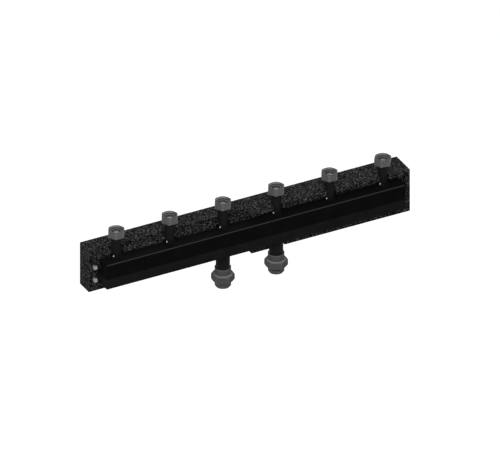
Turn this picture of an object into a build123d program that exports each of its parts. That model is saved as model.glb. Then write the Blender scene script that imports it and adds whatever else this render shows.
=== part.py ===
"""Insulated two-chamber heating manifold: six connections on top, two below.

Frame: origin at the centre of the insulation's rear (wall) face, +X along the
bar, -Y out of the wall towards the front, +Z up. Depths are counted from the
wall, so a depth d lies at Y = -d. All sizes are in millimetres.
"""

import math
import os

from build123d import *

# Insulation half
foam_back_wall = 20
foam_end_wall = 20
foam_side_wall = 19.4
foam_clearance = 0.6
lap_wall = 10
lap_tongue = 9
lap_groove = 10.5
slot_clearance = 0.4
weld_relief = 1.5

# Welded bar
bar_overhang = 38.5
bar_size = 60
bar_sheet = 3
bar_edge_radius = 3
seam_height = -5.4
plate_thickness = 3

# Connections on top
port_pitch = 125
port_count = 6
stub_diameter = 21.3
stub_wall = 2.6
stub_top = 86.6
stub_reach = 3
weld_leg = 4
weld_hollow = 0.6
weld_gap = 0.1

# Captive union nuts on the top stubs
nut_flats = 33
nut_sides = 6
nut_height = 15.5
nut_bottom = 76.5
nut_lip = 3
nut_running_gap = 0.35
nut_thread_radius = 12.06
nut_relief_radius = 12.9
nut_countersink = 2.2
nut_face_share = 0.97
nut_slope = 0.55
nut_turns = [0, 2, 0, 0, 0, -7]
gasket_thickness = 2
collar_thickness = 3.2
collar_gap = 0.36
thread_start_gap = 0.2

# Tubes and unions below
lower_pitch = 125
tube_diameter = 30
tube_wall = 3
tube_end = -79
union_sides = 6
union_turn = 30
head_sides = 8
head_turn = 17.2
head_flats = 34.4
head_top = -69
head_octagon = 13
head_slope = 0.6
head_bore_radius = 12
head_face = -92.6
union_neck_radius = 16.2
union_thread_radius = 19.5
union_thread_gap = 0.1
union_thread_chamfer = 1
union_face_chamfer = 0.6
union_nut_wall = 1.9
union_nut_top = -83.5
union_nut_height = 16.1
union_nut_slope = 0.55
union_lip = 2.6
union_lip_gap = 0.4
union_gasket_thickness = 1.6
union_gasket_margin = 0.4
union_collar_thickness = 2.6
union_collar_gap = 0.3
tail_flats = 29.8
tail_hexagon = 14
tail_bottom = -114.5
tail_thread_radius = 12.1
tail_thread_length = 12
tail_thread_chamfer = 1
tail_bore_radius = 11

# Sockets and plugs on the left end
socket_diameter = 14
socket_length = 8.5
socket_chamfer = 1
plug_thread_radius = 4.4
plug_flats = 10.5
plug_sides = 6
plug_head_length = 5.5
plug_slope = 0.5

# Sizes that follow from the ones above
bar_length = (port_count - 1) * port_pitch + 2 * bar_overhang
bar_depth = foam_back_wall + bar_size / 2
bar_top = bar_size / 2
split_depth = bar_depth
bar_end = -bar_length / 2
cavity_length = bar_length + 2 * foam_clearance
cavity_height = bar_size + 2 * foam_clearance
cavity_top = cavity_height / 2
shell_length = cavity_length + 2 * foam_end_wall
shell_height = cavity_height + 2 * foam_side_wall
stub_radius = stub_diameter / 2
tube_radius = tube_diameter / 2
port_places = [(i - (port_count - 1) / 2) * port_pitch for i in range(port_count)]
lower_ports = [-lower_pitch / 2, lower_pitch / 2]
chamber_middles = [(bar_top + seam_height) / 2, (seam_height - bar_top) / 2]
chamber_inside = bar_size - 2 * bar_sheet
socket_radius = socket_diameter / 2
nut_top = nut_bottom + nut_height
collar_radius = nut_thread_radius - collar_gap
union_nut_flats = 2 * (union_thread_radius + union_thread_gap + union_nut_wall)
union_nut_bottom = union_nut_top - union_nut_height
head_low = head_top - head_octagon
tail_high = tail_bottom + tail_hexagon
tail_thread_high = tail_bottom + tail_thread_chamfer + tail_thread_length
union_collar_radius = union_thread_radius - union_collar_gap
tail_face = head_face - union_gasket_thickness
tail_collar_bottom = tail_face - union_collar_thickness
lip_hole_radius = tail_flats / 2 / math.cos(math.pi / union_sides) + union_lip_gap


def port_axis(x):
    """Upright axis of the connection at x."""
    return Axis((x, -bar_depth, 0), (0, 0, 1))


def port_plane(x, z):
    """Level plane at height z, centred on the connection at x."""
    return Plane((x, -bar_depth, z))


def port_section(x):
    """Upright plane through the connection's axis, for turned profiles: local y is height."""
    return Plane((x, -bar_depth, 0), x_dir=(1, 0, 0), z_dir=(0, -1, 0))


def corner_radius(flats, sides):
    """Corner radius of the many-sided section with this width over flats."""
    return flats / 2 / math.cos(math.pi / sides)


def write(piece, name):
    """Labels a finished piece and writes it under that name."""
    piece.part.label = name
    export_step(piece.part, f"parts/{name}.step")


def tube(x, radius, bore, low, high):
    """Plain pipe on the connection's axis, from height low to height high."""
    with BuildPart() as pipe:
        with BuildSketch(port_plane(x, low)):
            Circle(radius)
            Circle(bore, mode=Mode.SUBTRACT)
        extrude(amount=high - low)
    return pipe


def profile(x, points):
    """Closed profile of (radius, height) points, to turn around the connection's axis."""
    with BuildSketch(port_section(x)) as section:
        with BuildLine():
            Polyline(*points, close=True)
        make_face()
    return section.sketch


def flat_sided(x, flats, sides, z, turn):
    """Section with flats, centred on the connection: turn 0 has a flat towards the front."""
    with BuildSketch(port_plane(x, z)) as section:
        RegularPolygon(corner_radius(flats, sides), sides, rotation=turn + 90 + 180 / sides)
    return section.sketch


def turned_ends(x, flats, sides, low, high, low_slope, high_slope):
    """Profile that turns the ends of a flat-sided bar down to its flats."""
    face_radius = flats / 2 * nut_face_share
    corner = corner_radius(flats, sides)
    low_rim = low + (corner - face_radius) * low_slope
    high_rim = high - (corner - face_radius) * high_slope
    rims = [(face_radius, low), (corner, low_rim), (corner, high_rim), (face_radius, high)]
    if low_slope == 0:
        rims = rims[1:]
    return profile(x, [(0, low), *rims, (0, high)])


def weld_bead(x, radius, root, leg, direction):
    """Fillet weld around a pipe, seated on the level face at height root."""
    inner = radius + weld_gap
    with BuildPart() as bead:
        with BuildSketch(port_section(x)):
            with BuildLine():
                Line((inner, root), (inner + leg, root))
                ThreePointArc(
                    (inner + leg, root),
                    (inner + leg * weld_hollow, root + direction * leg * weld_hollow),
                    (inner, root + direction * leg),
                )
                Line((inner, root + direction * leg), (inner, root))
            make_face()
        revolve(axis=port_axis(x))
    return bead


os.makedirs("parts", exist_ok=True)

# Rear insulation half: a foam block to the split plane, with a cavity for the bar.
# Its rim is stepped: the outer half of the wall stands proud on the right half and is
# cut back on the left half, so that the same moulding turned round closes the front.
with BuildPart() as rear_insulation:
    with BuildSketch(Plane.XZ):
        Rectangle(shell_length, shell_height)
    extrude(amount=split_depth)
    with BuildSketch(Plane.XZ.offset(split_depth)):
        with Locations((shell_length / 4, 0)):
            Rectangle(shell_length / 2, shell_height)
        with Locations(((shell_length / 2 - lap_wall) / 2, 0)):
            Rectangle(shell_length / 2 - lap_wall, shell_height - 2 * lap_wall, mode=Mode.SUBTRACT)
    extrude(amount=lap_tongue)
    with BuildSketch(Plane.XZ.offset(split_depth)):
        with Locations((-shell_length / 4, 0)):
            Rectangle(shell_length / 2, shell_height)
        with Locations((-(shell_length / 2 - lap_wall) / 2, 0)):
            Rectangle(shell_length / 2 - lap_wall, shell_height - 2 * lap_wall, mode=Mode.SUBTRACT)
    extrude(amount=-lap_groove, mode=Mode.SUBTRACT)
    with BuildSketch(Plane.XZ.offset(foam_back_wall)):
        Rectangle(cavity_length, cavity_height)
    extrude(amount=split_depth, mode=Mode.SUBTRACT)

    # Open-fronted slots for the stubs through the top and the tubes through the bottom,
    # each widened next to the bar to clear the weld bead
    slot_rows = [(x, stub_radius, 1) for x in port_places] + [(x, tube_radius, -1) for x in lower_ports]
    for x, pipe_radius, side in slot_rows:
        slot_radius = pipe_radius + slot_clearance
        relief_radius = pipe_radius + weld_leg + weld_relief
        relief_height = weld_leg + weld_relief
        for radius, height in [(slot_radius, foam_side_wall), (relief_radius, relief_height)]:
            with BuildSketch(port_plane(x, side * cavity_top)):
                Circle(radius)
                with Locations((0, -split_depth / 2)):
                    Rectangle(2 * radius, split_depth)
            extrude(amount=side * height, mode=Mode.SUBTRACT)

    # Recess in the left end wall around the two sockets
    with BuildSketch(Plane.YZ.offset(-cavity_length / 2)):
        with Locations((-bar_depth, sum(chamber_middles) / 2)):
            SlotCenterToCenter(
                chamber_middles[0] - chamber_middles[1],
                2 * (socket_radius + slot_clearance),
                rotation=90,
            )
    extrude(amount=-(foam_end_wall - lap_wall), mode=Mode.SUBTRACT)
write(rear_insulation, "rear_insulation_shell")


def chamber(rim, closed, long_pipes, short_pipes):
    """Half of the bar: a pan with rounded outer edges, open towards the seam at height rim."""
    side = 1 if closed > rim else -1
    with BuildPart() as pan:
        with BuildSketch(port_plane(0, rim)):
            RectangleRounded(bar_length, bar_size, bar_edge_radius)
        extrude(amount=closed - rim)
        outer_face = pan.faces().sort_by(Axis.Z)[-1 if side > 0 else 0]
        fillet(outer_face.edges(), bar_edge_radius)
        with BuildSketch(port_plane(0, rim)):
            Rectangle(bar_length - 2 * bar_sheet, chamber_inside)
        extrude(amount=closed - rim - side * bar_sheet, mode=Mode.SUBTRACT)
        for x, radius in long_pipes + short_pipes:
            with BuildSketch(port_plane(x, closed)):
                Circle(radius + weld_gap)
            extrude(amount=-side * 2 * bar_sheet, mode=Mode.SUBTRACT)
        middle = chamber_middles[0] if side > 0 else chamber_middles[1]
        with BuildSketch(Plane.YZ.offset(bar_end)):
            with Locations((-bar_depth, middle)):
                Circle(plug_thread_radius + weld_gap)
        extrude(amount=2 * bar_sheet, mode=Mode.SUBTRACT)
    return pan


top_pipes = [(x, stub_radius) for x in port_places]
bottom_pipes = [(x, tube_radius) for x in lower_ports]
write(chamber(seam_height, bar_top, top_pipes, []), "upper_chamber")
write(chamber(seam_height, -bar_top, bottom_pipes, []), "lower_chamber")

# Every second top stub, and the left tube below, pass the partition into the far chamber
through_stubs = port_places[1::2]
through_tubes = lower_ports[:1]
plate_low = seam_height - plate_thickness / 2
plate_high = seam_height + plate_thickness / 2
with BuildPart() as partition:
    with BuildSketch(port_plane(0, plate_low)):
        Rectangle(bar_length - 2 * bar_sheet, chamber_inside)
        with Locations([(x, 0) for x in through_stubs]):
            Circle(stub_radius + weld_gap, mode=Mode.SUBTRACT)
        with Locations([(x, 0) for x in through_tubes]):
            Circle(tube_radius + weld_gap, mode=Mode.SUBTRACT)
    extrude(amount=plate_thickness)
write(partition, "partition_plate")

# Pipes into the bar
for number, x in enumerate(port_places, start=1):
    low = plate_low - stub_reach if x in through_stubs else bar_top - bar_sheet - stub_reach
    write(tube(x, stub_radius, stub_radius - stub_wall, low, stub_top - gasket_thickness), f"top_stub_{number}")
for number, x in enumerate(lower_ports, start=1):
    high = plate_high + stub_reach if x in through_tubes else -bar_top + bar_sheet + stub_reach
    write(tube(x, tube_radius, tube_radius - tube_wall, tube_end, high), f"lower_tube_{number}")


def weld_group(beads, name):
    """Writes a group of weld beads as separate solids of one node."""
    with BuildPart() as group:
        for bead in beads:
            add(bead.part)
    write(group, name)


weld_group([weld_bead(x, stub_radius, bar_top, weld_leg, 1) for x in port_places], "top_weld_beads")
weld_group([weld_bead(x, tube_radius, -bar_top, weld_leg, -1) for x in lower_ports], "lower_weld_beads")
weld_group(
    [weld_bead(x, stub_radius, plate_low, stub_reach, -1) for x in through_stubs]
    + [weld_bead(x, tube_radius, plate_high, stub_reach, 1) for x in through_tubes],
    "partition_weld_rings",
)

# Captive union nut, collar and gasket at the top of each stub
collar_top = stub_top - gasket_thickness
thread_low = stub_top + thread_start_gap
for number, (x, turn) in enumerate(zip(port_places, nut_turns), start=1):
    collar = tube(x, collar_radius, stub_radius + weld_gap, collar_top - collar_thickness, collar_top)
    write(collar, f"stub_collar_{number}")
    gasket = tube(x, collar_radius, stub_radius - stub_wall, collar_top, stub_top)
    write(gasket, f"stub_gasket_{number}")

    with BuildPart() as nut:
        extrude(flat_sided(x, nut_flats, nut_sides, nut_bottom, turn), amount=nut_height)
        ends = turned_ends(x, nut_flats, nut_sides, nut_bottom, nut_top, 0, nut_slope)
        revolve(ends, axis=port_axis(x), mode=Mode.INTERSECT)
        bore = [
            (0, nut_bottom),
            (stub_radius + nut_running_gap, nut_bottom),
            (stub_radius + nut_running_gap, nut_bottom + nut_lip),
            (nut_relief_radius, nut_bottom + nut_lip),
            (nut_relief_radius, thread_low),
            (nut_thread_radius, thread_low),
            (nut_thread_radius, nut_top - nut_countersink),
            (nut_thread_radius + nut_countersink, nut_top),
            (0, nut_top),
        ]
        revolve(profile(x, bore), axis=port_axis(x), mode=Mode.SUBTRACT)
    write(nut, f"union_nut_{number}")

# Flat-seated unions below: head on the tube, hexagonal nut, and tail held in the nut
for number, x in enumerate(lower_ports, start=1):
    with BuildPart() as head:
        extrude(flat_sided(x, head_flats, head_sides, head_low, head_turn), amount=head_octagon)
        ends = turned_ends(x, head_flats, head_sides, head_low, head_top, head_slope, head_slope)
        revolve(ends, axis=port_axis(x), mode=Mode.INTERSECT)
        shank = [
            (0, head_low),
            (union_neck_radius, head_low),
            (union_neck_radius, union_nut_top - union_thread_gap),
            (union_thread_radius - union_thread_chamfer, union_nut_top - union_thread_gap),
            (union_thread_radius, union_nut_top - union_thread_gap - union_thread_chamfer),
            (union_thread_radius, head_face + union_face_chamfer),
            (union_thread_radius - union_face_chamfer, head_face),
            (0, head_face),
        ]
        revolve(profile(x, shank), axis=port_axis(x))
        bore = [
            (0, head_face),
            (head_bore_radius, head_face),
            (head_bore_radius, tube_end),
            (tube_radius + weld_gap, tube_end),
            (tube_radius + weld_gap, head_top),
            (0, head_top),
        ]
        revolve(profile(x, bore), axis=port_axis(x), mode=Mode.SUBTRACT)
    write(head, f"lower_union_head_{number}")

    seal_radius = union_collar_radius - union_gasket_margin
    seal = tube(x, seal_radius, head_bore_radius + union_gasket_margin, tail_face, head_face)
    write(seal, f"lower_union_gasket_{number}")

    with BuildPart() as ring:
        ring_section = flat_sided(x, union_nut_flats, union_sides, union_nut_bottom, union_turn)
        extrude(ring_section, amount=union_nut_height)
        slopes = [union_nut_slope, union_nut_slope]
        ends = turned_ends(x, union_nut_flats, union_sides, union_nut_bottom, union_nut_top, *slopes)
        revolve(ends, axis=port_axis(x), mode=Mode.INTERSECT)
        bore = [
            (0, union_nut_bottom),
            (lip_hole_radius, union_nut_bottom),
            (lip_hole_radius, union_nut_bottom + union_lip),
            (union_thread_radius + union_thread_gap, union_nut_bottom + union_lip),
            (union_thread_radius + union_thread_gap, union_nut_top),
            (0, union_nut_top),
        ]
        revolve(profile(x, bore), axis=port_axis(x), mode=Mode.SUBTRACT)
    write(ring, f"lower_union_nut_{number}")

    with BuildPart() as tail:
        extrude(flat_sided(x, tail_flats, union_sides, tail_bottom, union_turn), amount=tail_hexagon)
        ends = turned_ends(x, tail_flats, union_sides, tail_bottom, tail_high, head_slope, head_slope)
        revolve(ends, axis=port_axis(x), mode=Mode.INTERSECT)
        shank = [
            (0, tail_high),
            (union_neck_radius, tail_high),
            (union_neck_radius, tail_collar_bottom),
            (union_collar_radius, tail_collar_bottom),
            (union_collar_radius, tail_face),
            (0, tail_face),
        ]
        revolve(profile(x, shank), axis=port_axis(x))
        bore = [
            (0, tail_bottom),
            (tail_thread_radius + tail_thread_chamfer, tail_bottom),
            (tail_thread_radius, tail_bottom + tail_thread_chamfer),
            (tail_thread_radius, tail_thread_high),
            (tail_bore_radius, tail_thread_high + tail_thread_chamfer),
            (tail_bore_radius, tail_face),
            (0, tail_face),
        ]
        revolve(profile(x, bore), axis=port_axis(x), mode=Mode.SUBTRACT)
    write(tail, f"lower_union_tail_{number}")

# Welded half-sockets with hexagon-headed plugs on the left end, one for each chamber
for name, height in zip(["upper", "lower"], chamber_middles):
    with BuildPart() as socket:
        with BuildSketch(Plane.YZ.offset(bar_end)):
            with Locations((-bar_depth, height)):
                Circle(socket_radius)
                Circle(plug_thread_radius + weld_gap, mode=Mode.SUBTRACT)
        extrude(amount=-socket_length)
        chamfer(socket.faces().sort_by(Axis.X)[0].outer_wire().edges(), socket_chamfer)
    write(socket, f"{name}_end_socket")

    head_start = bar_end - socket_length
    head_end = head_start - plug_head_length
    head_corner = corner_radius(plug_flats, plug_sides)
    head_drop = (head_corner - plug_flats / 2) * plug_slope
    with BuildPart() as plug:
        with BuildSketch(Plane.YZ.offset(head_start)):
            with Locations((-bar_depth, height)):
                RegularPolygon(head_corner, plug_sides)
        extrude(amount=-plug_head_length)
        with BuildSketch(Plane.XY.offset(height)):
            with BuildLine():
                Polyline(
                    (head_start, -bar_depth),
                    (head_start, -bar_depth - head_corner),
                    (head_end + head_drop, -bar_depth - head_corner),
                    (head_end, -bar_depth - plug_flats / 2),
                    (head_end, -bar_depth),
                    close=True,
                )
            make_face()
        revolve(axis=Axis((0, -bar_depth, height), (1, 0, 0)), mode=Mode.INTERSECT)
        with BuildSketch(Plane.YZ.offset(head_start)):
            with Locations((-bar_depth, height)):
                Circle(plug_thread_radius)
        extrude(amount=bar_sheet + socket_length)
    write(plug, f"{name}_end_plug")
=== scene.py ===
import math

import bpy
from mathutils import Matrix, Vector


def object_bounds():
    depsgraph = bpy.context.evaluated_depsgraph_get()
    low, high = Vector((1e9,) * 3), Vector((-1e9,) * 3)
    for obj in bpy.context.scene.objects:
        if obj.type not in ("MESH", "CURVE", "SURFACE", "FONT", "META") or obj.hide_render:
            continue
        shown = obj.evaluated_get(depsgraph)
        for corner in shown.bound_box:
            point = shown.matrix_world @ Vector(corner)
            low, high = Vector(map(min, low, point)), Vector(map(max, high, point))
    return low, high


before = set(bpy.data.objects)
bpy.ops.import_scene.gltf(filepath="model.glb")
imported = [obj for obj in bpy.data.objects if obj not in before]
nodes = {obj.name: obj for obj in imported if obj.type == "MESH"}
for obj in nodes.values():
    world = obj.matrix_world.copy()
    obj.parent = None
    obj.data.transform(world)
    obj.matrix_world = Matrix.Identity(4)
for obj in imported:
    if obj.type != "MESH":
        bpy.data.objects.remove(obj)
cad_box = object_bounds()

# Rear insulation half: black expanded polypropylene, steam-moulded from small beads that
# stay visible on its skin as a dark and grey mottle, with a painted highlight along its
# edges. The welded bar is pressed into it.

bead_size = 0.0015
bead_tones = [0.0, 0.0002, 0.0016, 0.0150, 0.1750]
bead_relief = 0.0004
skin_fleck_size = 0.0012
skin_fleck_span = (0.35, 0.65)
skin_fleck_strengths = [0.7, 1.0, 1.3]
# Painted highlight along the foam's edges: its reach, bend and tone.
foam_highlight_reach = 0.0016
foam_highlight_bend = 0.8
foam_highlight_tone = 0.050
least_edge_bend = 0.99


def node_material(name):
    """Empty node material with its node tree and shader, ready to be dressed."""
    material = bpy.data.materials.new(name)
    material.use_nodes = True
    tree = material.node_tree
    return material, tree, tree.nodes["Principled BSDF"]


def grey(tone):
    """Neutral colour of a given reflectance."""
    return (tone, tone, tone, 1)


def part_coordinates(tree):
    """Coordinates in metres in the part's own frame."""
    return tree.nodes.new("ShaderNodeTexCoord").outputs["Object"]


def arithmetic(tree, operation, first, second):
    """Result of one sum on a socket and a second socket or number."""
    step = tree.nodes.new("ShaderNodeMath")
    step.operation = operation
    for place, value in enumerate((first, second)):
        if isinstance(value, (int, float)):
            step.inputs[place].default_value = value
        else:
            tree.links.new(value, step.inputs[place])
    return step.outputs["Value"]


def share_between(tree, source, low, high):
    """0 where the source is at low, 1 where it is at high, held beyond both."""
    span = tree.nodes.new("ShaderNodeMapRange")
    span.inputs["From Min"].default_value = low
    span.inputs["From Max"].default_value = high
    tree.links.new(source, span.inputs["Value"])
    return span.outputs["Result"]


def colour_mix(tree, first, second):
    """Mix node for two colours, each a colour or a socket: its inputs 6 and 7."""
    mix = tree.nodes.new("ShaderNodeMix")
    mix.data_type = "RGBA"
    for place, colour in ((6, first), (7, second)):
        if isinstance(colour, tuple):
            mix.inputs[place].default_value = colour
        else:
            tree.links.new(colour, mix.inputs[place])
    return mix


def blend_colours(tree, share, first, second):
    """First colour where the share is 0, second where it is 1."""
    mix = colour_mix(tree, first, second)
    tree.links.new(share, mix.inputs[0])
    return mix.outputs[2]


def multiply_colours(tree, first, second):
    """Product of two colours."""
    mix = colour_mix(tree, first, second)
    mix.blend_type = "MULTIPLY"
    mix.inputs[0].default_value = 1
    return mix.outputs[2]


def tone_ramp(tree, source, tones):
    """Greys spread evenly over a source from 0 to 1."""
    ramp = tree.nodes.new("ShaderNodeValToRGB")
    tree.links.new(source, ramp.inputs["Fac"])
    band = ramp.color_ramp
    while len(band.elements) < len(tones):
        band.elements.new(0.5)
    for number, (element, tone) in enumerate(zip(band.elements, tones)):
        element.position = number / (len(tones) - 1)
        element.color = grey(tone)
    return ramp.outputs["Color"]


def noise(tree, size, detail):
    """Cloudy noise whose features measure about the given size in metres."""
    cloud = tree.nodes.new("ShaderNodeTexNoise")
    cloud.inputs["Scale"].default_value = 1 / size
    cloud.inputs["Detail"].default_value = detail
    tree.links.new(part_coordinates(tree), cloud.inputs["Vector"])
    return cloud.outputs["Fac"]


def cloud_tones(tree, size, tones, detail, span=(0.3, 0.7)):
    """Greys that drift into one another in clouds of the given size in metres."""
    return tone_ramp(tree, share_between(tree, noise(tree, size, detail), *span), tones)


def relief(tree, shader, height, strength, depth):
    """Small relief of the surface, depth in metres."""
    bump = tree.nodes.new("ShaderNodeBump")
    bump.inputs["Strength"].default_value = strength
    bump.inputs["Distance"].default_value = depth
    tree.links.new(height, bump.inputs["Height"])
    tree.links.new(bump.outputs["Normal"], shader.inputs["Normal"])


def edge_share(tree, reach, bend):
    """1 on edges bent as far as bend, a cosine, and 0 from a reach in metres inwards."""
    bevel = tree.nodes.new("ShaderNodeBevel")
    bevel.samples = 8
    bevel.inputs["Radius"].default_value = reach
    surface = tree.nodes.new("ShaderNodeNewGeometry")
    turn = tree.nodes.new("ShaderNodeVectorMath")
    turn.operation = "DOT_PRODUCT"
    tree.links.new(bevel.outputs["Normal"], turn.inputs[0])
    tree.links.new(surface.outputs["Normal"], turn.inputs[1])
    return share_between(tree, turn.outputs["Value"], least_edge_bend, bend)


def shine(shader, roughness, specular, metallic=0.0):
    """How much and how sharply a surface reflects."""
    shader.inputs["Metallic"].default_value = metallic
    shader.inputs["Roughness"].default_value = roughness
    shader.inputs["Specular IOR Level"].default_value = specular


def dress(node, material):
    """Gives a carried-over piece its finish."""
    for slot in nodes[node].material_slots:
        slot.material = material


bead_foam, tree, shader = node_material("bead_foam")
beads = tree.nodes.new("ShaderNodeTexVoronoi")
beads.inputs["Scale"].default_value = 1 / bead_size
tree.links.new(part_coordinates(tree), beads.inputs["Vector"])
bead_shade = tree.nodes.new("ShaderNodeSeparateColor")
tree.links.new(beads.outputs["Color"], bead_shade.inputs["Color"])
bead_colour = tone_ramp(tree, bead_shade.outputs["Red"], bead_tones)
flecks = cloud_tones(tree, skin_fleck_size, skin_fleck_strengths, detail=2, span=skin_fleck_span)
flecked = multiply_colours(tree, bead_colour, flecks)
# Painted highlight: the foam is lightened along its edges.
edge = edge_share(tree, foam_highlight_reach, foam_highlight_bend)
foam_colour = blend_colours(tree, edge, flecked, grey(foam_highlight_tone))
tree.links.new(foam_colour, shader.inputs["Base Color"])
relief(tree, shader, beads.outputs["Distance"], strength=0.5, depth=bead_relief)
shine(shader, roughness=0.85, specular=0.05)
dress("rear_insulation_shell", bead_foam)

# Welded steel bar: two folded pans, painted black, the upper one a shade darker than the
# lower. The seam between them is ground flush, and the partition plate is welded inside.
# The top and end faces carry painted light, and a painted highlight runs along the front fold.

paint_cloud_size = 0.03
paint_grain_size = 0.0011
paint_relief = 0.0001
paint_darkest = 0.85
paint_lightest = 1.15
# Painted light on the end faces and the top faces: the slopes of their masks.
end_light_slopes = (-0.2, -0.5)
top_light_slopes = (0.7, 0.95)
# Painted highlight along the top front fold: the slopes of its mask.
fold_highlight_slopes = (-0.12, -0.28)


def surface_direction(tree):
    """Direction that the surface faces, in its three parts."""
    surface = tree.nodes.new("ShaderNodeNewGeometry")
    parts = tree.nodes.new("ShaderNodeSeparateXYZ")
    tree.links.new(surface.outputs["Normal"], parts.inputs["Vector"])
    return parts.outputs


def black_paint(name, tone, top_light_tone, end_light_tone, fold_highlight_tone):
    """Sprayed black paint with a slight change of tone, painted light on top and ends, and a painted
    highlight along the top front fold.
    """
    material, tree, shader = node_material(name)
    tones = [paint_darkest * tone, paint_lightest * tone]
    colour = cloud_tones(tree, paint_cloud_size, tones, detail=3)
    direction = surface_direction(tree)
    # Painted light: end faces, their rounded corners and top faces take their own lighter tones.
    end_light_share = share_between(tree, direction["X"], *end_light_slopes)
    colour = blend_colours(tree, end_light_share, colour, grey(end_light_tone))
    top_light_share = share_between(tree, direction["Z"], *top_light_slopes)
    colour = blend_colours(tree, top_light_share, colour, grey(top_light_tone))
    # Painted highlight: a lighter line along the top front fold.
    frontal = arithmetic(tree, "POWER", direction["Y"], 3)
    slanted = arithmetic(tree, "MULTIPLY", frontal, direction["Z"])
    fold = share_between(tree, slanted, *fold_highlight_slopes)
    colour = blend_colours(tree, fold, colour, grey(fold_highlight_tone))
    tree.links.new(colour, shader.inputs["Base Color"])
    relief(tree, shader, noise(tree, paint_grain_size, detail=2), strength=0.15, depth=paint_relief)
    shine(shader, roughness=0.5, specular=0.004)
    return material


# The top, end and fold tones are painted light.
upper_paint = black_paint(
    "upper_paint", tone=0.0045, top_light_tone=0.0057, end_light_tone=0.0056, fold_highlight_tone=0.037
)
lower_paint = black_paint(
    "lower_paint", tone=0.0102, top_light_tone=0.0102, end_light_tone=0.0130, fold_highlight_tone=0.012
)
dress("upper_chamber", upper_paint)
for node in ["lower_chamber", "partition_plate", "upper_end_socket", "lower_end_socket"]:
    dress(node, lower_paint)

# Pipe stubs and tubes: steel pipe painted black on the outside, like the bar. Inside, the
# stubs are bare steel, darker near the gasket, with a painted highlight further down.

port_count = 6
port_pitch = 0.125
port_depth = 0.05
stub_bore_radius = 0.00805
stub_outer_radius = 0.01065
stub_tones = [0.0086, 0.0110]
bore_limit_blend = 0.0002
# Bore tones: darker near the gasket, and a painted highlight lower down.
upper_bore_tone = 0.12
bore_highlight_tone = 0.50
bore_highlight_top = 0.0822
bore_highlight_blend = 0.0012


def place_in_part(tree):
    """Place in metres in the part's own frame, in its three parts."""
    place = tree.nodes.new("ShaderNodeSeparateXYZ")
    tree.links.new(part_coordinates(tree), place.inputs["Vector"])
    return place.outputs


def place_off_axis(tree):
    """Level place in metres from the axis of the nearest connection, as a vector."""
    place = place_in_part(tree)
    shifted = arithmetic(tree, "ADD", place["X"], port_count / 2 * port_pitch)
    wrapped = arithmetic(tree, "FLOORED_MODULO", shifted, port_pitch)
    flat = tree.nodes.new("ShaderNodeCombineXYZ")
    tree.links.new(arithmetic(tree, "SUBTRACT", wrapped, port_pitch / 2), flat.inputs["X"])
    tree.links.new(arithmetic(tree, "ADD", place["Y"], port_depth), flat.inputs["Y"])
    return flat.outputs["Vector"]


def distance_off_axis(tree):
    """Distance in metres from the axis of the nearest connection."""
    length = tree.nodes.new("ShaderNodeVectorMath")
    length.operation = "LENGTH"
    tree.links.new(place_off_axis(tree), length.inputs[0])
    return length.outputs["Value"]


stub_paint, tree, shader = node_material("stub_paint")
outside = cloud_tones(tree, paint_cloud_size, stub_tones, detail=3)
middle_radius = (stub_bore_radius + stub_outer_radius) / 2
bore_limits = (middle_radius + bore_limit_blend, middle_radius - bore_limit_blend)
in_bore = share_between(tree, distance_off_axis(tree), *bore_limits)
# Painted highlight: the lower part of each bore is lightened.
bore_highlight_limits = (bore_highlight_top, bore_highlight_top - bore_highlight_blend)
bore_highlight_share = share_between(tree, place_in_part(tree)["Z"], *bore_highlight_limits)
bore = blend_colours(tree, bore_highlight_share, grey(upper_bore_tone), grey(bore_highlight_tone))
tree.links.new(blend_colours(tree, in_bore, outside, bore), shader.inputs["Base Color"])
relief(tree, shader, noise(tree, paint_grain_size, detail=2), strength=0.15, depth=paint_relief)
shine(shader, roughness=0.45, specular=0.03)
for number in range(1, port_count + 1):
    dress(f"top_stub_{number}", stub_paint)
    dress(f"stub_collar_{number}", stub_paint)
for number in (1, 2):
    dress(f"lower_tube_{number}", stub_paint)

# Weld beads: fillet welds laid round each pipe's foot and painted over. Each bead carries
# a small painted highlight, a bright glint at the same place on its front left.

weld_ripple_size = 0.0015
weld_relief = 0.0002
weld_tones = [0.0026, 0.0044]
# Painted highlight: a small bright glint on each bead at its front left.
weld_glint_place = (-0.0098, -0.0069)
weld_glint_reach = 0.0019
weld_glint_core = 0.6 * weld_glint_reach
weld_glint_heights = (0.0305, 0.0312)
weld_glint_tone = 0.42

weld_paint, tree, shader = node_material("weld_paint")
ripples = cloud_tones(tree, weld_ripple_size, weld_tones, detail=2)
# Painted highlight: the glint's place, size and height on the bead.
away = tree.nodes.new("ShaderNodeVectorMath")
away.operation = "DISTANCE"
tree.links.new(place_off_axis(tree), away.inputs[0])
away.inputs[1].default_value = (*weld_glint_place, 0)
glint_spot = share_between(tree, away.outputs["Value"], weld_glint_reach, weld_glint_core)
raised = share_between(tree, place_in_part(tree)["Z"], *weld_glint_heights)
glint_share = arithmetic(tree, "MULTIPLY", glint_spot, raised)
weld_colour = blend_colours(tree, glint_share, ripples, grey(weld_glint_tone))
tree.links.new(weld_colour, shader.inputs["Base Color"])
relief(tree, shader, noise(tree, weld_ripple_size, detail=2), strength=0.4, depth=weld_relief)
shine(shader, roughness=0.4, specular=0.02)
for node in ["top_weld_beads", "lower_weld_beads", "partition_weld_rings"]:
    dress(node, weld_paint)

# Union nuts: forged steel with a dull grey coat on the flats and the end face. The turned
# lead-in of the thread carries painted light, lighter on the side that faces the front, and
# the corners carry painted highlights, most of all at the chamfer.

nut_grain_size = 0.0022
nut_relief = 0.00012
flat_tone = 0.104
end_face_tone = 0.064
# Painted light on the lead-in: lit toward the front, shaded at the sides.
lead_in_shade_tone = 0.070
lead_in_light_tone = 0.170
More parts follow.
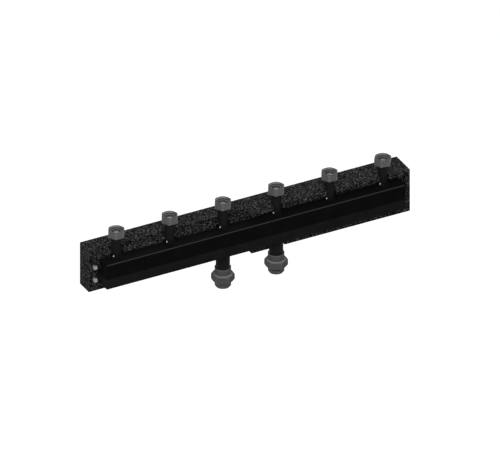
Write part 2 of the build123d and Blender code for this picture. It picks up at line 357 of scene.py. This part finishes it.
# Painted highlights on the corners, strongest at the chamfer corners.
corner_highlight_tone = 0.135
chamfer_corner_highlight_tone = 0.17
thread_tone = 0.085
thread_reach = 0.0129
corner_radius = 0.0181
chamfer_corner_radius = 0.0174
radius_blend = 0.0003
lead_in_light_slopes = (-0.15, -0.55)
lead_in_slopes = (0.4, 0.6)
end_face_slopes = (0.76, 0.82)
grain_strengths = [0.82, 1.18]


def facing_up(tree, slopes):
    """Share of a surface that faces up: 0 below the first slope, 1 above the second."""
    return share_between(tree, surface_direction(tree)["Z"], *slopes)


def beyond(tree, radius):
    """Share of a surface that lies outside a radius from the connection's axis."""
    return share_between(tree, distance_off_axis(tree), radius - radius_blend, radius + radius_blend)


def cast_grain(tree, colour, size):
    """The same colour with the fine uneven grain of a forged or cast skin."""
    return multiply_colours(tree, colour, cloud_tones(tree, size, grain_strengths, detail=4))


nut_steel, tree, shader = node_material("nut_steel")
# Painted highlight on the corners of the flats.
sides = blend_colours(tree, beyond(tree, corner_radius), grey(flat_tone), grey(corner_highlight_tone))
sides = blend_colours(tree, beyond(tree, thread_reach), grey(thread_tone), sides)
# Painted highlight where the chamfer meets the corners.
chamfer_corner_highlight_share = beyond(tree, chamfer_corner_radius)
end_face = blend_colours(tree, chamfer_corner_highlight_share, grey(end_face_tone), grey(chamfer_corner_highlight_tone))
# Painted light: the lead-in is lighter where it faces the front.
lead_in_light_share = share_between(tree, surface_direction(tree)["Y"], *lead_in_light_slopes)
lead_in = blend_colours(tree, lead_in_light_share, grey(lead_in_shade_tone), grey(lead_in_light_tone))
colour = blend_colours(tree, facing_up(tree, lead_in_slopes), sides, lead_in)
colour = blend_colours(tree, facing_up(tree, end_face_slopes), colour, end_face)
tree.links.new(cast_grain(tree, colour, nut_grain_size), shader.inputs["Base Color"])
relief(tree, shader, noise(tree, nut_grain_size, detail=4), strength=0.25, depth=nut_relief)
shine(shader, roughness=0.5, specular=0.1, metallic=0.1)
for number in range(1, port_count + 1):
    dress(f"union_nut_{number}", nut_steel)

# Lower unions: malleable iron, dull and dark on the flats. The turned face at the top of the
# nut is bright metal lifted further by painted light, the upward chamfer carries painted
# light, the edges carry painted highlight lines, and the right tail has painted shade where
# it goes into its nut.

iron_grain_size = 0.0025
iron_relief = 0.0002
iron_tone = 0.074
# Painted light on the upward chamfer and the turned face.
iron_chamfer_light_tone = 0.11
iron_chamfer_light_slopes = (0.4, 0.7)
turned_face_light_tone = 0.36
iron_face_slopes = (0.93, 0.97)
# Painted highlight lines along the edges.
iron_edge_highlight_tone = 0.20
iron_edge_highlight_reach = 0.0010
iron_edge_highlight_bend = 0.85
nut_face_height = -0.0830
nut_face_blend = 0.0010
# Painted shade on the right tail where it goes into its nut.
tail_shade_tone = 0.012
tail_shade_low = -0.1050
tail_shade_blend = 0.0004


def cast_iron(tree, shader, colour):
    """Dull cast skin of malleable iron in the given colour."""
    tree.links.new(cast_grain(tree, colour, iron_grain_size), shader.inputs["Base Color"])
    relief(tree, shader, noise(tree, iron_grain_size, detail=4), strength=0.35, depth=iron_relief)
    shine(shader, roughness=0.6, specular=0.06)


union_iron, tree, shader = node_material("union_iron")
# Painted light: the turned face at the top of the nut and the upward chamfer are lightened.
turned_limits = (nut_face_height + nut_face_blend, nut_face_height)
turned = share_between(tree, place_in_part(tree)["Z"], *turned_limits)
face = blend_colours(tree, turned, grey(iron_chamfer_light_tone), grey(turned_face_light_tone))
chamfer_light_share = facing_up(tree, iron_chamfer_light_slopes)
colour = blend_colours(tree, chamfer_light_share, grey(iron_tone), grey(iron_chamfer_light_tone))
# Painted highlight lines along the edges.
edge = edge_share(tree, iron_edge_highlight_reach, iron_edge_highlight_bend)
colour = blend_colours(tree, edge, colour, grey(iron_edge_highlight_tone))
colour = blend_colours(tree, facing_up(tree, iron_face_slopes), colour, face)
cast_iron(tree, shader, colour)
for number in (1, 2):
    dress(f"lower_union_head_{number}", union_iron)
    dress(f"lower_union_nut_{number}", union_iron)
dress("lower_union_tail_1", union_iron)

tail_iron, tree, shader = node_material("tail_iron")
# Painted highlight lines along the edges.
edge = edge_share(tree, iron_edge_highlight_reach, iron_edge_highlight_bend)
colour = blend_colours(tree, edge, grey(iron_tone), grey(iron_edge_highlight_tone))
# Painted shade: the tail is darkened where it goes into the nut.
tail_shade_limits = (tail_shade_low - tail_shade_blend, tail_shade_low + tail_shade_blend)
tail_shade_share = share_between(tree, place_in_part(tree)["Z"], *tail_shade_limits)
colour = blend_colours(tree, tail_shade_share, colour, grey(tail_shade_tone))
cast_iron(tree, shader, colour)
dress("lower_union_tail_2", tail_iron)

# Flat gaskets: pressed fibre rings on the stubs and in the unions, with painted shade
# around the bore.

fibre_size = 0.0008
fibre_relief = 0.0001
fibre_tones = [0.17, 0.23]
# Painted shade around the bore: its radius and tone.
inner_shade_radius = 0.0096
inner_shade_tone = 0.045

gasket_fibre, tree, shader = node_material("gasket_fibre")
fibres = cloud_tones(tree, fibre_size, fibre_tones, detail=3)
# Painted shade: the fibre is darkened inside the radius.
fibre_colour = blend_colours(tree, beyond(tree, inner_shade_radius), grey(inner_shade_tone), fibres)
tree.links.new(fibre_colour, shader.inputs["Base Color"])
relief(tree, shader, noise(tree, fibre_size, detail=3), strength=0.3, depth=fibre_relief)
shine(shader, roughness=0.85, specular=0.1)
for number in range(1, port_count + 1):
    dress(f"stub_gasket_{number}", gasket_fibre)
for number in (1, 2):
    dress(f"lower_union_gasket_{number}", gasket_fibre)

# End plugs: zinc-plated hexagon screws in the two welded sockets, one for each chamber. The
# upper part of each head carries painted light, and below its axis it is darker.

zinc_grain_size = 0.0015
zinc_relief = 0.0001
upper_plug_height = 0.0123
plug_pitch = 0.030
# Painted light on the upper part of each plug head.
zinc_light_limits = (-0.0036, -0.0024)
top_zinc_slopes = (0.7, 0.9)
lower_zinc_tone = 0.070
zinc_light_tone = 0.32
top_zinc = 0.11

zinc_plate, tree, shader = node_material("zinc_plate")
height = place_in_part(tree)["Z"]
raised = arithmetic(tree, "ADD", height, plug_pitch / 2 - upper_plug_height)
wrapped = arithmetic(tree, "FLOORED_MODULO", raised, plug_pitch)
above_axis = arithmetic(tree, "SUBTRACT", wrapped, plug_pitch / 2)
# Painted light: the upper part of each head is lightened.
zinc_light_share = share_between(tree, above_axis, *zinc_light_limits)
colour = blend_colours(tree, zinc_light_share, grey(lower_zinc_tone), grey(zinc_light_tone))
colour = blend_colours(tree, facing_up(tree, top_zinc_slopes), colour, grey(top_zinc))
tree.links.new(cast_grain(tree, colour, zinc_grain_size), shader.inputs["Base Color"])
relief(tree, shader, noise(tree, zinc_grain_size, detail=3), strength=0.2, depth=zinc_relief)
shine(shader, roughness=0.4, specular=0.2, metallic=0.2)
for node in ["upper_end_plug", "lower_end_plug"]:
    dress(node, zinc_plate)

# Studio: the part hangs at working height over a pale floor, under two soft lamps beside the
# camera and a weaker one behind. The camera is in parallel projection, as the photograph is.

floor_drop = 1.5
floor_half = 8.0
floor_level = cad_box[0][2] - floor_drop
floor_mottle_size = 0.4
floor_tones = [0.792, 0.80]
floor_glow = 0.66
room_level = 0.35


def seen_directly(tree):
    """1 where the camera sees a thing straight, mirrored or through glass."""
    path = tree.nodes.new("ShaderNodeLightPath")
    seen = arithmetic(tree, "MAXIMUM", path.outputs["Is Camera Ray"], path.outputs["Is Glossy Ray"])
    return arithmetic(tree, "MAXIMUM", seen, path.outputs["Is Transmission Ray"])


floor_mesh = bpy.data.meshes.new("floor")
floor_sides = [(-1, -1), (1, -1), (1, 1), (-1, 1)]
floor_corners = [(floor_half * x, floor_half * y, floor_level) for x, y in floor_sides]
floor_mesh.from_pydata(floor_corners, [], [(0, 1, 2, 3)])
floor = bpy.data.objects.new("floor", floor_mesh)
bpy.context.collection.objects.link(floor)
floor_paint, tree, shader = node_material("floor_paint")
mottle = cloud_tones(tree, floor_mottle_size, floor_tones, detail=2)
tree.links.new(mottle, shader.inputs["Base Color"])
shine(shader, roughness=0.9, specular=0.0)
shader.inputs["Emission Color"].default_value = grey(1)
glow = arithmetic(tree, "MULTIPLY", seen_directly(tree), floor_glow)
tree.links.new(glow, shader.inputs["Emission Strength"])
floor_mesh.materials.append(floor_paint)

world = bpy.data.worlds.new("studio")
bpy.context.scene.world = world
world.use_nodes = True
room = world.node_tree
background = room.nodes["Background"]
background.inputs["Color"].default_value = grey(1)
whitened = arithmetic(room, "MULTIPLY", seen_directly(room), 1 - room_level)
strength = arithmetic(room, "ADD", whitened, room_level)
room.links.new(strength, background.inputs["Strength"])


def soft_lamp(name, place, size, power):
    """Square soft lamp aimed at the part."""
    lamp = bpy.data.lights.new(name, "AREA")
    lamp.shape = "SQUARE"
    lamp.size = size
    lamp.energy = power
    holder = bpy.data.objects.new(name, lamp)
    holder.location = place
    holder.rotation_euler = (-Vector(place)).to_track_quat("-Z", "Y").to_euler()
    bpy.context.collection.objects.link(holder)


soft_lamp("left_lamp", place=(-1.96, -1.31, 1.85), size=0.9, power=33)
soft_lamp("right_lamp", place=(-0.12, -2.36, 1.85), size=1.6, power=27)
soft_lamp("back_lamp", place=(1.40, 2.10, 1.60), size=1.6, power=18)

camera_azimuth = math.radians(27.77)
camera_rise = math.radians(31.0)
camera_distance = 3.0
picture_width = 500
pixels_per_metre = 481.7
middle_right = 0.02435
middle_up = -0.01044
to_camera = Vector((
    -math.sin(camera_azimuth) * math.cos(camera_rise),
    -math.cos(camera_azimuth) * math.cos(camera_rise),
    math.sin(camera_rise),
))
right = Vector((math.cos(camera_azimuth), -math.sin(camera_azimuth), 0))
up = to_camera.cross(right)
look_at = middle_right * right + middle_up * up
lens = bpy.data.cameras.new("camera")
lens.type = "ORTHO"
lens.ortho_scale = picture_width / pixels_per_metre
camera = bpy.data.objects.new("camera", lens)
camera.location = look_at + camera_distance * to_camera
camera.rotation_euler = (-to_camera).to_track_quat("-Z", "Y").to_euler()
bpy.context.collection.objects.link(camera)
bpy.context.scene.camera = camera
bpy.context.scene.view_settings.view_transform = "Standard"
